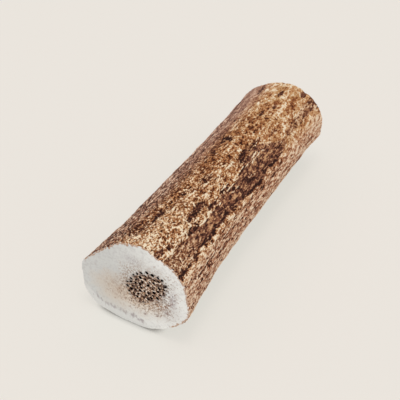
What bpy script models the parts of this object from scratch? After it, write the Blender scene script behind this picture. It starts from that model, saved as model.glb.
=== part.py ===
"""A short length of elk antler beam, sawn off square at both ends and lying on its side.

The beam runs along X. The end that flares towards the burr is at -X and the slimmer end at +X.
Round the beam, an angle of 0 points to -Y, 90 straight up, 180 to +Y and 270 down to the table.
The solid is a loft of closed sections. Gutters, pits, ridges and pearls are all worked into the
loft itself, and the marrow pores are cut into the two sawn faces.
"""
from math import cos, pi, radians, sin

import bmesh
import bpy
import numpy as np

MM = 0.001

# Driving dimensions in millimetres
LENGTH = 130.0
BURR_END_AXIS_HEIGHT = 24.0
TIP_END_AXIS_HEIGHT = 20.0
FLARE_RATE = 3.6
SIDEWAYS_BEND = 0.5

# Radii of the two end sections, evenly spread, starting at -Y and going over the top: the flared
# end is uneven and has one every 15 degrees, the slim end one every 30
BURR_END_RADII = (25.1, 24.8, 25.4, 24.9, 23.2, 23.4, 21.9, 21.2, 20.0, 19.6, 19.9, 22.2,
                  25.4, 26.3, 28.8, 29.8, 27.2, 25.6, 24.4, 23.6, 23.0, 23.4, 24.6, 25.5)
TIP_END_RADII = (20.7, 22.0, 21.6, 20.3, 17.9, 19.1, 20.8, 21.0, 20.5, 20.3, 19.3, 19.4)

# Broad shallow swells and dents: place, reach as part of the length and as degrees round, height
BROAD_FORMS = (
    dict(at=(0.76, 338.0), reach=(0.20, 32.0), height=-0.95),
    dict(at=(0.93, 341.0), reach=(0.09, 26.0), height=-0.85),
    dict(at=(0.40, 345.0), reach=(0.14, 28.0), height=-0.70),
    dict(at=(0.24, 348.0), reach=(0.06, 22.0), height=-0.45),
    dict(at=(0.72, 150.0), reach=(0.20, 26.0), height=-0.45),
    dict(at=(0.40, 163.0), reach=(0.10, 24.0), height=0.35),
    dict(at=(1.00, 130.0), reach=(0.05, 26.0), height=0.80),
    dict(at=(0.50, 284.0), reach=(0.40, 16.0), height=0.60),
    dict(at=(0.95, 280.0), reach=(0.20, 20.0), height=0.30),
)

# Sanded edges of the sawn faces: a small round all the way, and outside part of each face a bevel
# that slopes back gently. Its spread is half the angle that it covers.
EDGE_ROUND = 0.55
BURR_END_BEVEL = dict(width=5.0, depth=0.60, angle=245.0, spread=36.0, fade=22.0)
TIP_END_BEVEL = dict(width=1.4, depth=0.70, angle=120.0, spread=45.0, fade=40.0)
LEAST_BEVEL_WIDTH = 0.25

# Depth that is rubbed off the lowest side, where the piece lies. With the two swells of the lowest
# side it makes a flat strip on both sides of the centre of mass, so that the piece doesn't roll.
RESTING_WEAR = 0.62

# Points on the surface are given as (part of the length, angle in degrees)
GUTTERS = (
    dict(name="main gutter", width=7.4, depth=1.50, steepness=6,
         path=((0.01, 45), (0.12, 47), (0.25, 45), (0.40, 44), (0.55, 44), (0.66, 40), (0.75, 39))),
    dict(name="main gutter past the gap", width=7.0, depth=0.85, steepness=4,
         path=((0.78, 43), (0.88, 45), (0.98, 45))),
    dict(name="upper branch", width=3.8, depth=1.00, steepness=4,
         path=((0.17, 65), (0.26, 64), (0.40, 60), (0.50, 62), (0.60, 67), (0.69, 66))),
    dict(name="crown gutter", width=4.8, depth=0.90, steepness=4,
         path=((0.02, 103), (0.10, 101), (0.18, 97), (0.28, 91), (0.43, 81))),
    dict(name="left flank gutter", width=5.4, depth=0.70, steepness=4,
         path=((0.08, 150), (0.20, 148), (0.45, 141), (0.70, 139), (0.90, 134))),
    dict(name="right flank groove", width=3.0, depth=0.45, steepness=2,
         path=((0.03, 15), (0.20, 17), (0.38, 19), (0.60, 20), (0.72, 18))),
    dict(name="hidden side gutter", width=7.0, depth=0.95, steepness=4,
         path=((0.05, 198), (0.20, 201), (0.45, 197), (0.70, 203), (1.05, 199))),
    dict(name="lower right groove", width=4.4, depth=0.55, steepness=4,
         path=((0.06, 333), (0.30, 330), (0.62, 334), (0.88, 329))),
)

PITS = (
    dict(at=(0.195, 55.5), length=12.0, width=5.0, depth=1.50),
    dict(at=(0.320, 55.0), length=9.0, width=5.0, depth=1.40),
    dict(at=(0.405, 58.0), length=8.0, width=5.0, depth=1.25),
    dict(at=(0.620, 92.0), length=5.0, width=9.0, depth=0.45),
    dict(at=(0.800, 84.0), length=6.0, width=4.4, depth=0.55),
    dict(at=(0.860, 75.0), length=6.0, width=4.4, depth=0.55),
    dict(at=(0.930, 82.0), length=6.0, width=4.2, depth=0.50),
    dict(at=(0.950, 119.0), length=5.0, width=6.0, depth=0.40),
    dict(at=(0.550, 22.0), length=7.0, width=4.0, depth=0.45),
    dict(at=(0.640, 20.0), length=9.0, width=4.0, depth=0.50),
    dict(at=(0.300, 220.0), length=7.0, width=4.0, depth=0.60),
    dict(at=(0.740, 222.0), length=6.0, width=4.0, depth=0.55),
)

RIDGES = (
    dict(width=2.6, height=0.45, path=((0.00, 56), (0.15, 58), (0.21, 60), (0.27, 58), (0.34, 60))),
    dict(width=2.6, height=0.40, path=((0.36, 54), (0.44, 53), (0.52, 52), (0.58, 54))),
    dict(width=3.0, height=0.35, path=((0.05, 31), (0.25, 31), (0.45, 32), (0.60, 30))),
    dict(width=3.4, height=0.30, path=((0.02, 112), (0.25, 104), (0.50, 96), (0.70, 98))),
    dict(width=3.4, height=0.35, path=((0.05, 186), (0.40, 187), (0.80, 189))),
)

# Pearls are the low, drawn-out lumps that cover the beam between its gutters. They start a little
# below the plain beam, so that their tops and not their feet have the radii given above.
PEARL_COUNT = 330
PEARL_LENGTH = (4.5, 9.0)
PEARL_WIDTH = (3.0, 4.6)
PEARL_HEIGHT = (0.25, 0.65)
PEARL_SEED = 11
PEARL_FOOT = 0.25

# How steeply a gutter's sides fall, how fast pearls fade for each millimetre that the floor sinks,
# and the part of the beam's length over which a gutter or ridge rises or runs out at its ends
GUTTER_EDGE = 0.7
PEARLS_LOST_IN_GUTTER = 0.9
PATH_FADE = 0.05

# Marrow: an oval of open pores in each sawn face, as (across towards -Y, up) from the beam's axis
PORE_SIDES = 6
PORE_DEPTH = 2.4
PORE_TAPER = 0.55
PORE_SHAKE = 0.16
PORE_SHRINK_OUTWARD = 0.35
CUTTER_STANDS_OUT = 0.5
BURR_END_MARROW = dict(centre=(5.2, 2.7), half_length=10.7, half_width=6.9, tilt=40.0,
                       pore_spacing=2.50, pore_radius=(0.45, 0.80), seed=5)
TIP_END_MARROW = dict(centre=(2.0, 1.0), half_length=8.2, half_width=5.6, tilt=35.0,
                      pore_spacing=2.40, pore_radius=(0.40, 0.70), seed=9)

# How finely the loft is divided
SECTION_POINTS = 76
STATIONS = 44
EDGE_STEPS = 2
FIRST_STATION = 4.0

BARK_COLOUR = (0.36, 0.22, 0.12, 1.0)
BARK_ROUGHNESS = 0.62
SHARP_FROM = radians(60.0)


def clear_scene():
    for old in list(bpy.data.objects):
        bpy.data.objects.remove(old, do_unlink=True)


def smooth_step(value):
    """0 below 0, 1 above 1 and an even S between."""
    value = np.clip(value, 0.0, 1.0)
    return value * value * (3.0 - 2.0 * value)


def angle_gap(angle, centre):
    """Signed difference of two angles in degrees, between -180 and 180."""
    return (angle - centre + 180.0) % 360.0 - 180.0


def section_radius(radii, angle):
    """Radius at each angle, on a smooth closed curve through evenly spread radii."""
    radii = np.array(radii)
    place = angle / 360.0 * len(radii)
    knot = np.floor(place).astype(int)
    part = place - knot
    before, here, after, beyond = (radii[(knot + step) % len(radii)] for step in (-1, 0, 1, 2))
    return 0.5 * (2 * here + (after - before) * part
                  + (2 * before - 5 * here + 4 * after - beyond) * part ** 2
                  + (3 * here - 3 * after + beyond - before) * part ** 3)


def taper(along):
    """0 at the burr end and 1 at the tip end, quick at first, as the flare dies out."""
    return (1.0 - np.exp(-FLARE_RATE * along)) / (1.0 - np.exp(-FLARE_RATE))


def beam_radius(along, angle):
    burr_end = section_radius(BURR_END_RADII, angle)
    tip_end = section_radius(TIP_END_RADII, angle)
    radius = burr_end + (tip_end - burr_end) * taper(along)
    for form in BROAD_FORMS:
        lengthwise = (along - form["at"][0]) / form["reach"][0]
        across = angle_gap(angle, form["at"][1]) / form["reach"][1]
        radius = radius + form["height"] * np.exp(-(lengthwise ** 2 + across ** 2))
    return radius


def path_gap(along, angle, path, radius):
    """Distance in millimetres from a lengthwise path, and 1 on it fading to 0 past its ends."""
    places, angles = np.array(path, dtype=float).T
    centre = np.interp(along, places, angles)
    fade = smooth_step((along - places[0]) / PATH_FADE) * smooth_step((places[-1] - along) / PATH_FADE)
    return radians(1.0) * angle_gap(angle, centre) * radius, fade


def relief(along, angle, radius):
    """Height of the worked surface above the plain beam, in millimetres."""
    raised = pearl_height(along, angle, radius)
    for ridge in RIDGES:
        gap, fade = path_gap(along, angle, ridge["path"], radius)
        raised += ridge["height"] * fade * np.exp(-(2.0 * gap / ridge["width"]) ** 2)
    sunk = sunk_depth(along, angle, radius)
    return raised / (1.0 + PEARLS_LOST_IN_GUTTER * sunk) - sunk - PEARL_FOOT


def sunk_depth(along, angle, radius):
    """Depth of the deepest gutter or pit at each point. Where two meet, they run together."""
    depth = np.zeros(np.broadcast(along, angle).shape)
    for gutter in GUTTERS:
        gap, fade = path_gap(along, angle, gutter["path"], radius)
        across = np.abs(2.0 * gap / gutter["width"])
        bed = gutter["depth"] * fade * np.exp(-GUTTER_EDGE * across ** gutter["steepness"])
        depth = np.maximum(depth, bed)
    for pit in PITS:
        lengthwise = 2.0 * (along - pit["at"][0]) * LENGTH / pit["length"]
        across = 2.0 * radians(1.0) * angle_gap(angle, pit["at"][1]) * radius / pit["width"]
        depth = np.maximum(depth, pit["depth"] * np.exp(-(lengthwise ** 2 + across ** 2)))
    return depth


def pearl_height(along, angle, radius):
    """Height of low lumps, drawn out along the beam, at seeded random places."""
    random = np.random.default_rng(PEARL_SEED)
    height = np.zeros(np.broadcast(along, angle).shape)
    for _ in range(PEARL_COUNT):
        place = random.uniform(0.0, 1.0)
        centre = random.uniform(0.0, 360.0)
        length = random.uniform(*PEARL_LENGTH)
        width = random.uniform(*PEARL_WIDTH)
        top = random.uniform(*PEARL_HEIGHT)
        lengthwise = 2.0 * (along - place) * LENGTH / length
        across = 2.0 * radians(1.0) * angle_gap(angle, centre) * radius / width
        height = np.maximum(height, top * np.exp(-(lengthwise ** 2 + across ** 2)))
    return height


def edge_rows(bevel, angle):
    """Rows of (depth behind the sawn face, inward set), over the bevel and then over the round."""
    inside = bevel["spread"] - np.abs(angle_gap(angle, bevel["angle"]))
    share = smooth_step(0.5 + inside / bevel["fade"])
    depth = bevel["depth"] * share
    rows = [(np.zeros(len(angle)), EDGE_ROUND + LEAST_BEVEL_WIDTH + bevel["width"] * share)]
    for step in range(EDGE_STEPS + 1):
        turn = step / EDGE_STEPS * pi / 2
        inset = np.full(len(angle), EDGE_ROUND * (1 - sin(turn)))
        rows.append((depth + EDGE_ROUND * (1 - cos(turn)), inset))
    return rows


def loft_rows():
    """Rows of (distance along, inward set) from the burr end to the tip end."""
    angle = np.arange(SECTION_POINTS) * 360.0 / SECTION_POINTS
    rows = edge_rows(BURR_END_BEVEL, angle)
    for distance in np.linspace(FIRST_STATION, LENGTH - FIRST_STATION, STATIONS):
        rows.append((np.full(SECTION_POINTS, distance), np.zeros(SECTION_POINTS)))
    rows += [(LENGTH - depth, inset) for depth, inset in reversed(edge_rows(TIP_END_BEVEL, angle))]
    return angle, np.array([row[0] for row in rows]), np.array([row[1] for row in rows])


def surface_points():
    """Grid of points on the beam, in millimetres, one row for each section."""
    angle, distance, inset = loft_rows()
    along = distance / LENGTH
    angle = np.broadcast_to(angle, along.shape)
    radius = beam_radius(along, angle)
    radius = radius + relief(along, angle, radius) - inset
    bend = SIDEWAYS_BEND * 4.0 * along * (1.0 - along)
    height = BURR_END_AXIS_HEIGHT + (TIP_END_AXIS_HEIGHT - BURR_END_AXIS_HEIGHT) * taper(along)
    turn = np.radians(angle)
    return np.stack([distance - LENGTH / 2,
                     bend - radius * np.cos(turn),
                     height + radius * np.sin(turn)], axis=-1)


def lay_down(points):
    """Centre the piece over the origin and wear its lowest side so that it lies on z = 0."""
    low = points.reshape(-1, 3).min(axis=0)
    high = points.reshape(-1, 3).max(axis=0)
    shift = np.array([-(low[0] + high[0]) / 2, -(low[1] + high[1]) / 2, -low[2] - RESTING_WEAR])
    moved = points + shift
    moved[..., 2] = np.maximum(moved[..., 2], 0.0)
    return moved, shift


def loft(points):
    """Closed mesh through the rows of points, with one flat face at each end."""
    shape = bmesh.new()
    rows = [[shape.verts.new(point * MM) for point in row] for row in points]
    for row, next_row in zip(rows[:-1], rows[1:]):
        for index in range(SECTION_POINTS):
            after = (index + 1) % SECTION_POINTS
            shape.faces.new((row[index], row[after], next_row[after], next_row[index]))
    shape.faces.new(rows[0])
    shape.faces.new(rows[-1])
    bmesh.ops.recalc_face_normals(shape, faces=shape.faces)
    return shape


def marrow_pores(marrow):
    """Places and radii of the pores: a jittered triangular net inside the marrow's oval."""
    random = np.random.default_rng(marrow["seed"])
    spacing = marrow["pore_spacing"]
    rise = spacing * sin(pi / 3)
    tilt = radians(marrow["tilt"])
    most = int(marrow["half_length"] / rise) + 1
    pores = []
    for line in range(-most, most + 1):
        for place in range(-most, most + 1):
            shake = random.uniform(-PORE_SHAKE, PORE_SHAKE, 2) * spacing
            radius = random.uniform(*marrow["pore_radius"])
            across = (place + 0.5 * (line % 2)) * spacing + shake[0]
            up = line * rise + shake[1]
            reach = (across / marrow["half_length"]) ** 2 + (up / marrow["half_width"]) ** 2
            if reach < 1.0:
                pores.append((marrow["centre"][0] + across * cos(tilt) - up * sin(tilt),
                              marrow["centre"][1] + across * sin(tilt) + up * cos(tilt),
                              radius * (1.0 - PORE_SHRINK_OUTWARD * reach)))
    return pores


def pore_cutter(marrow, face_x, inward, axis_height, shift):
    """One mesh of tapered plugs, each standing a little out of the sawn face at face_x."""
    cutter = bmesh.new()
    outer_size = 1.0 + PORE_TAPER * CUTTER_STANDS_OUT / PORE_DEPTH
    for across, up, radius in marrow_pores(marrow):
        middle = np.array([face_x, shift[1] - across, shift[2] + axis_height + up])
        rings = []
        for depth, size in ((-CUTTER_STANDS_OUT, outer_size), (PORE_DEPTH, 1.0 - PORE_TAPER)):
            ring = []
            for side in range(PORE_SIDES):
                turn = 2 * pi * (side + across) / PORE_SIDES
                offset = (inward * depth, radius * size * cos(turn), radius * size * sin(turn))
                ring.append(cutter.verts.new((middle + offset) * MM))
            rings.append(ring)
        for side in range(PORE_SIDES):
            after = (side + 1) % PORE_SIDES
            cutter.faces.new((rings[0][side], rings[0][after], rings[1][after], rings[1][side]))
        cutter.faces.new(rings[0])
        cutter.faces.new(rings[1])
    bmesh.ops.recalc_face_normals(cutter, faces=cutter.faces)
    return cutter


def mesh_object(name, shape):
    mesh = bpy.data.meshes.new(name)
    shape.to_mesh(mesh)
    shape.free()
    made = bpy.data.objects.new(name, mesh)
    bpy.context.scene.collection.objects.link(made)
    return made


def cut_away(body, cutter):
    """Boolean difference that stays on the body, with the cutter kept as a hidden guide."""
    cutter.display_type = "WIRE"
    cutter.hide_render = True
    cut = body.modifiers.new("Cut " + cutter.name, "BOOLEAN")
    cut.operation = "DIFFERENCE"
    cut.solver = "EXACT"
    cut.object = cutter


def antler_material():
    material = bpy.data.materials.new("antler_bark")
    material.use_nodes = True
    shader = material.node_tree.nodes["Principled BSDF"]
    shader.inputs["Base Color"].default_value = BARK_COLOUR
    shader.inputs["Roughness"].default_value = BARK_ROUGHNESS
    shader.inputs["Metallic"].default_value = 0.0
    return material


def build_antler():
    points, shift = lay_down(surface_points())
    antler = mesh_object("antler", loft(points))
    burr_pores = pore_cutter(BURR_END_MARROW, points[0, 0, 0], 1.0, BURR_END_AXIS_HEIGHT, shift)
    tip_pores = pore_cutter(TIP_END_MARROW, points[-1, 0, 0], -1.0, TIP_END_AXIS_HEIGHT, shift)
    cut_away(antler, mesh_object("burr_end_pores", burr_pores))
    cut_away(antler, mesh_object("tip_end_pores", tip_pores))
    antler.data.materials.append(antler_material())
    antler.data.shade_smooth()
    antler.data.set_sharp_from_angle(angle=SHARP_FROM)
    for face in antler.data.polygons:
        face.use_smooth = len(face.vertices) == 4
    return antler


clear_scene()
build_antler()
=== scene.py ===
# %% [markdown]
# # A sawn length of elk antler
#
# A dog chew is one piece of a shed antler's beam: stained bark outside, white compact bone where
# the saw went through, and a spongy marrow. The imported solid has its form. This lesson gives it
# the surface: the bark's grain and gutters, the sanded edges and the open pores of the marrow.

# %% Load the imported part
import math

import bmesh
import bpy
import numpy as np
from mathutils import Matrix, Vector, noise
from mathutils.bvhtree import BVHTree


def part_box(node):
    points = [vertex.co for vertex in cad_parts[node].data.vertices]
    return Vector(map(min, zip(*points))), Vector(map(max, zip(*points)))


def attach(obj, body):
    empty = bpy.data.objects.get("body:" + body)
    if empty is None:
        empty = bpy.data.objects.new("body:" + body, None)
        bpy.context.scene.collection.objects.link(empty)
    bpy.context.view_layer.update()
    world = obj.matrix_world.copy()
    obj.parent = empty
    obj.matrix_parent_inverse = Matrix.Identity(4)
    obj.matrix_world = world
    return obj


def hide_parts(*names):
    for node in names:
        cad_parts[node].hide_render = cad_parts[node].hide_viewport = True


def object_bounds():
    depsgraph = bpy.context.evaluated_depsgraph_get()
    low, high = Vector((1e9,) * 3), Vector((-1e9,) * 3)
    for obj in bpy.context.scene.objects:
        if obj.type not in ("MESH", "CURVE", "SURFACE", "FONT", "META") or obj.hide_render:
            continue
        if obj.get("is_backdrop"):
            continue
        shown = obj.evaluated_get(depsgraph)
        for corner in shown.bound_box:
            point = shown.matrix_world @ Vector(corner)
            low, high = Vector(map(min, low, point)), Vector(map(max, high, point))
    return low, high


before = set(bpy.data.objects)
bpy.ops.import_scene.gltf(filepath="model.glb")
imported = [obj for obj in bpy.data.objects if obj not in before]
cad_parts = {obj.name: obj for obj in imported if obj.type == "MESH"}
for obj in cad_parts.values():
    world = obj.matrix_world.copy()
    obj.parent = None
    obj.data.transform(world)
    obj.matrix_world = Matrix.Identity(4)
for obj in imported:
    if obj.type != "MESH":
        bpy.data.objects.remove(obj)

MM = 0.001
cad_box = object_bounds()
low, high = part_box("antler")
length = high.x - low.x
print("antler", [round(side / MM, 1) for side in high - low], "mm")

# %% [markdown]
# ## The view
#
# The camera looks down the beam from its wide end. A long lens from half a metre away keeps the
# far end from shrinking. The azimuth is measured from a camera that looks along +Y.

# %% Camera
CAMERA_AZIMUTH = math.radians(-60.25)
CAMERA_ELEVATION = math.radians(42.0)
CAMERA_DISTANCE = 501.0 * MM
CAMERA_LENS = 103.5
LOOK_AT = Vector((-1.8, 6.1, 17.0)) * MM


def add_object(name, data):
    made = bpy.data.objects.new(name, data)
    bpy.context.scene.collection.objects.link(made)
    return made


camera = add_object("camera", bpy.data.cameras.new("camera"))
bpy.context.scene.camera = camera
flat = math.cos(CAMERA_ELEVATION)
back = Vector((math.sin(CAMERA_AZIMUTH) * flat, -math.cos(CAMERA_AZIMUTH) * flat, math.sin(CAMERA_ELEVATION)))
camera.data.lens = CAMERA_LENS
camera.data.sensor_width = 36.0
camera.location = LOOK_AT + back * CAMERA_DISTANCE
camera.rotation_euler = (-back).to_track_quat("-Z", "Y").to_euler()
print("camera at", [round(value, 3) for value in camera.location])

# %% [markdown]
# ## Small helpers
#
# Colours are written as sRGB hex values, as a colour picker shows them, and turned to the linear
# values that a shader works in. A node tree is written step by step, like a recipe: each step
# adds a node, fills in its inputs and gives its output for the next step.

# %% Helpers
NOISE_ROUGHNESS = 0.55


def colour(code):
    """Linear RGBA from an sRGB hex value."""
    parts = [int(code[place:place + 2], 16) / 255.0 for place in (1, 3, 5)]
    linear = [part / 12.92 if part <= 0.04045 else ((part + 0.055) / 1.055) ** 2.4 for part in parts]
    return (*linear, 1.0)


class Recipe:
    """Writes a node tree. An input is a number, a vector or the output of an earlier step."""

    def __init__(self, tree):
        self.tree = tree

    def fill(self, node, inputs):
        """Link or set a node's inputs, given by name or by number."""
        for key, value in inputs.items():
            if isinstance(value, bpy.types.NodeSocket):
                self.tree.links.new(value, node.inputs[key])
            else:
                node.inputs[key].default_value = value

    def node(self, kind, inputs=None, **settings):
        node = self.tree.nodes.new(kind)
        for name, value in settings.items():
            setattr(node, name, value)
        self.fill(node, inputs or {})
        return node

    def add(self, kind, inputs=None, output=0, **settings):
        """Add a node and give one of its outputs."""
        return self.node(kind, inputs, **settings).outputs[output]

    def math(self, operation, *values):
        return self.add("ShaderNodeMath", dict(enumerate(values)), operation=operation)

    def times(self, first, second):
        return self.math("MULTIPLY", first, second)

    def vector(self, operation, *values, output=0):
        return self.add("ShaderNodeVectorMath", dict(enumerate(values)), output, operation=operation)

    def xyz(self, x=0.0, y=0.0, z=0.0):
        return self.add("ShaderNodeCombineXYZ", {0: x, 1: y, 2: z})

    def turn(self, vector, angle):
        """A vector turned about Z."""
        return self.add("ShaderNodeVectorRotate", {"Vector": vector, "Angle": angle}, rotation_type="Z_AXIS")

    def remap(self, value, low_in, high_in, low_out=0.0, high_out=1.0):
        """A value carried from one range to another and held inside it."""
        return self.add("ShaderNodeMapRange", {0: value, 1: low_in, 2: high_in, 3: low_out, 4: high_out})

    def weighted_sum(self, start, *parts, clamp=False):
        """Start plus each part's weight times its difference from its middle value."""
        total = start - sum(weight * middle for _, weight, middle in parts)
        for value, weight, _ in parts:
            total = self.math("MULTIPLY_ADD", value, weight, total)
        return self.remap(total, 0.0, 1.0) if clamp else total

    def soft_noise(self, at, per_mm, detail=2.0, stretch=1.0, distortion=0.0):
        """Noise around 0.5 in a field of millimetres, drawn out along the beam by the stretch."""
        drawn = self.vector("MULTIPLY", at, (1 / stretch, 1, 1))
        return self.add("ShaderNodeTexNoise", {
            "Vector": drawn, "Scale": per_mm, "Detail": detail, "Roughness": NOISE_ROUGHNESS,
            "Distortion": distortion})

    def cells(self, at, per_mm):
        """Distance from the nearest of many scattered points."""
        return self.add("ShaderNodeTexVoronoi", {"Vector": at, "Scale": per_mm})

    def read(self, name, kind="Fac"):
        """A value stored on the points of the mesh."""
        return self.add("ShaderNodeAttribute", output=kind, attribute_name=name)

    def palette(self, value, stops):
        """A colour read between the stops of a palette."""
        ramp = self.node("ShaderNodeValToRGB", {0: value})
        elements = ramp.color_ramp.elements
        while len(elements) < len(stops):
            elements.new(0.5)
        for element, (position, code) in zip(elements, stops):
            element.position = position
            element.color = colour(code)
        return ramp.outputs[0]

    def mix(self, share, first, second):
        """A share of the second colour in the first. Each is a hex value or an earlier step."""
        first, second = [colour(given) if isinstance(given, str) else given for given in (first, second)]
        return self.add("ShaderNodeMix", {0: share, 6: first, 7: second}, 2, data_type="RGBA")


def smooth_step(value):
    value = np.clip(value, 0.0, 1.0)
    return value * value * (3.0 - 2.0 * value)


# %% [markdown]
# ## Reading the form from the solid
#
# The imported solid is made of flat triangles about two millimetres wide, too coarse for bark. So
# rays are sent in towards the beam's axis all the way round and all the way along. Where they hit
# gives the radius at each place, and a light blur takes the flat facets out of that table.

# %% Radius table
SPOKES = 336
STATION_STEP = 1.0 * MM
EDGE_ZONE = 2.6 * MM
RAY_REACH = 60.0 * MM
BLUR_ROUND = 0.8 * MM
BLUR_ALONG = 1.3 * MM
TYPICAL_RADIUS = 22.0 * MM

BURR_AXIS_HEIGHT = 24.3 * MM
TIP_AXIS_HEIGHT = 20.3 * MM
FLARE_RATE = 3.6


def axis_height(along):
    """Height of the beam's axis, which drops as the flare dies out."""
    part = (1.0 - np.exp(-FLARE_RATE * along)) / (1.0 - np.exp(-FLARE_RATE))
    return BURR_AXIS_HEIGHT + (TIP_AXIS_HEIGHT - BURR_AXIS_HEIGHT) * part


solid = bmesh.new()
solid.from_mesh(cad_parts["antler"].data)
bmesh.ops.remove_doubles(solid, verts=solid.verts, dist=0.001 * MM)
solid_surface = BVHTree.FromBMesh(solid)
solid.free()

angles = np.arange(SPOKES) * 360.0 / SPOKES
outward = np.stack([np.zeros(SPOKES), -np.cos(np.radians(angles)), np.sin(np.radians(angles))], 1)


def read_section(distance):
    """Radius of the solid at every spoke, a given distance from the burr end."""
    axis = np.array([low.x + distance, 0.0, axis_height(distance / length)])
    section = []
    for direction in outward:
        start = Vector(axis + direction * RAY_REACH)
        hit = solid_surface.ray_cast(start, Vector(-direction))[0]
        section.append((hit - Vector(axis)).length)
    return np.array(section)


def blur(table, reach, axis, wrap):
    """Gaussian blur along one axis of a table, with reach in cells."""
    steps = int(math.ceil(3 * reach))
    weights = np.exp(-0.5 * (np.arange(-steps, steps + 1) / reach) ** 2)
    weights /= weights.sum()
    places = np.arange(table.shape[axis])
    total = np.zeros_like(table)
    for step, weight in zip(range(-steps, steps + 1), weights):
        moved = (places + step) % len(places) if wrap else np.clip(places + step, 0, len(places) - 1)
        total += weight * np.take(table, moved, axis=axis)
    return total


stations = np.arange(EDGE_ZONE, length - EDGE_ZONE, STATION_STEP)
radius_table = np.array([read_section(distance) for distance in stations])
cell_round = TYPICAL_RADIUS * 2 * math.pi / SPOKES
radius_table = blur(radius_table, BLUR_ROUND / cell_round, 1, wrap=True)
inner_part = blur(radius_table, BLUR_ALONG / STATION_STEP, 0, wrap=False)
radius_table[3:-3] = inner_part[3:-3]
first = radius_table[0] + (radius_table[0] - radius_table[2]) * EDGE_ZONE / (2 * STATION_STEP)
last = radius_table[-1] + (radius_table[-1] - radius_table[-3]) * EDGE_ZONE / (2 * STATION_STEP)
radius_table = np.vstack([first, radius_table, last])
stations = np.concatenate([[0.0], stations, [length]])
print("radius from", round(radius_table.min() / MM, 1), "to", round(radius_table.max() / MM, 1), "mm")

# %% [markdown]
# ## The sanded edges
#
# The edge of each sawn face is broken by a small round. Outside one side of the face a sanding
# belt also left a bevel that slopes back gently. How wide the bevel is at each spoke is the
# difference between the radius of the beam and that of the flat face, and a second set of rays,
# sent in along the beam just inside its edge, tells how deep it is.

# %% Edge shapes
EDGE_ROUND = 0.55 * MM
FACE_SKIN = 0.004 * MM
PROBE_INSET = 0.65 * MM
RIM_RANGE = (0.8 * MM, 6.0 * MM)
RIM_BLUR = 3.0


def edge_shape(end_x, inward, beam_radius):
    """For each spoke, how far the flat face stops inside the beam, and the depth of the bevel."""
    skin = end_x - low.x + inward * FACE_SKIN
    stop = np.clip(beam_radius - read_section(skin), *RIM_RANGE)
    depth = []
    for direction, rim in zip(outward, beam_radius):
        start = np.array([end_x - inward * RAY_REACH, 0.0, axis_height(skin / length)])
        start = start + direction * (rim - PROBE_INSET)
        hit = solid_surface.ray_cast(Vector(start), Vector((inward, 0.0, 0.0)))[0]
        depth.append(abs(hit.x - end_x))
    return [blur(values[None, :], RIM_BLUR, 1, wrap=True)[0] for values in (stop, np.array(depth))]


burr_edge = edge_shape(low.x, 1.0, radius_table[0])
tip_edge = edge_shape(high.x, -1.0, radius_table[-1])
print("burr end: face stops", round(burr_edge[0].max() / MM, 2), "mm inside the beam at most,",
      "bevel", round(burr_edge[1].max() / MM, 2), "mm deep")

# %% [markdown]
# ## The bark tube
#
# The fine surface is a grid: rows go along the beam and spokes go round it. The end rows turn over
# the round and the bevel and run a little way in over the flat face, where the sawn faces join on.
# Each row knows how far it is turned over and how far it lies inside or outside the bevel's line.

# %% Grid of the tube
BODY_ROWS = 232
ROUND_ROWS = 5
BEVEL_PARTS = (0.0, 0.3, 0.65, 1.0)
LAND_WIDTHS = (2.6 * MM, 1.3 * MM, 0.5 * MM)


def edge_rows(stop, depth):
    """Rows of (depth behind the face, inset, turn, distance outside the bevel's line)."""
    made = [(np.zeros(SPOKES), stop + land, 0.0, np.full(SPOKES, -land)) for land in LAND_WIDTHS]
    bevel_width = stop - EDGE_ROUND
    for part in BEVEL_PARTS:
        made.append((depth * part, stop - bevel_width * part, 0.0, bevel_width * part))
    for turn in np.linspace(0.0, math.pi / 2, ROUND_ROWS + 1)[1:]:
        sunk = depth + EDGE_ROUND * (1 - math.cos(turn))
        made.append((sunk, np.full(SPOKES, EDGE_ROUND * (1 - math.sin(turn))), turn, bevel_width))
    return made


burr_rows, tip_rows = edge_rows(*burr_edge), edge_rows(*tip_edge)
start, end = burr_rows[-1][0], length - tip_rows[-1][0]
rows = list(burr_rows)
for part in np.linspace(0.0, 1.0, BODY_ROWS + 2)[1:-1]:
    rows.append((start + (end - start) * part, np.zeros(SPOKES), math.pi / 2, np.full(SPOKES, RAY_REACH)))
rows += [(length - row[0], *row[1:]) for row in tip_rows[::-1]]

distance, inset, edge_turn, outside_line = (np.array(column) for column in zip(*rows))
edge_turn = edge_turn[:, None] * np.ones(SPOKES)
along = distance / length
angle = np.broadcast_to(angles, along.shape)

# %% [markdown]
# Here and there a chip is missing from the rim. Each nick is an angle and a depth, and it sinks the
# grid near the end of the beam only.

# %% Nicks in the rim
NICKS = ((126.0, 0.9), (67.0, 0.9), (53.0, 0.4), (12.0, 0.4), (96.0, 0.5), (329.0, 0.7), (142.0, 0.4))
NICK_SPREAD = 2.2
NICK_REACH = 1.6 * MM


def wrapped(gap):
    """A gap between two angles, between -180 and 180 degrees."""
    return (gap + 180.0) % 360.0 - 180.0


nick_depth = np.zeros(along.shape)
for centre, depth in NICKS:
    spread = wrapped(angle - centre) / NICK_SPREAD
    nick_depth += depth * MM * np.exp(-spread ** 2 - (distance / NICK_REACH) ** 2)
columns = [np.interp(distance[:, spoke], stations, radius_table[:, spoke]) for spoke in range(SPOKES)]
radius = np.stack(columns, axis=1) - inset - nick_depth
height = axis_height(along)
place = np.stack([low.x + distance,
                  radius * outward[:, 1],
                  height + radius * outward[:, 2]], axis=-1)
print("grid of", place.shape[0], "rows and", place.shape[1], "spokes")

# %% [markdown]
# ## Where the gutters, pits and ridges lie
#
# Blood vessels ran along the growing antler and left gutters. Dirt and plant juices stained those
# dark, and rubbing against trees polished the ridges between them pale. Each mark is listed once,
# as a place along the beam (0 at the wide end, 1 at the slim one) and an angle round it (0 on the
# camera's right, 90 on top). A slow noise shakes these places first, so that no edge runs true.

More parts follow.
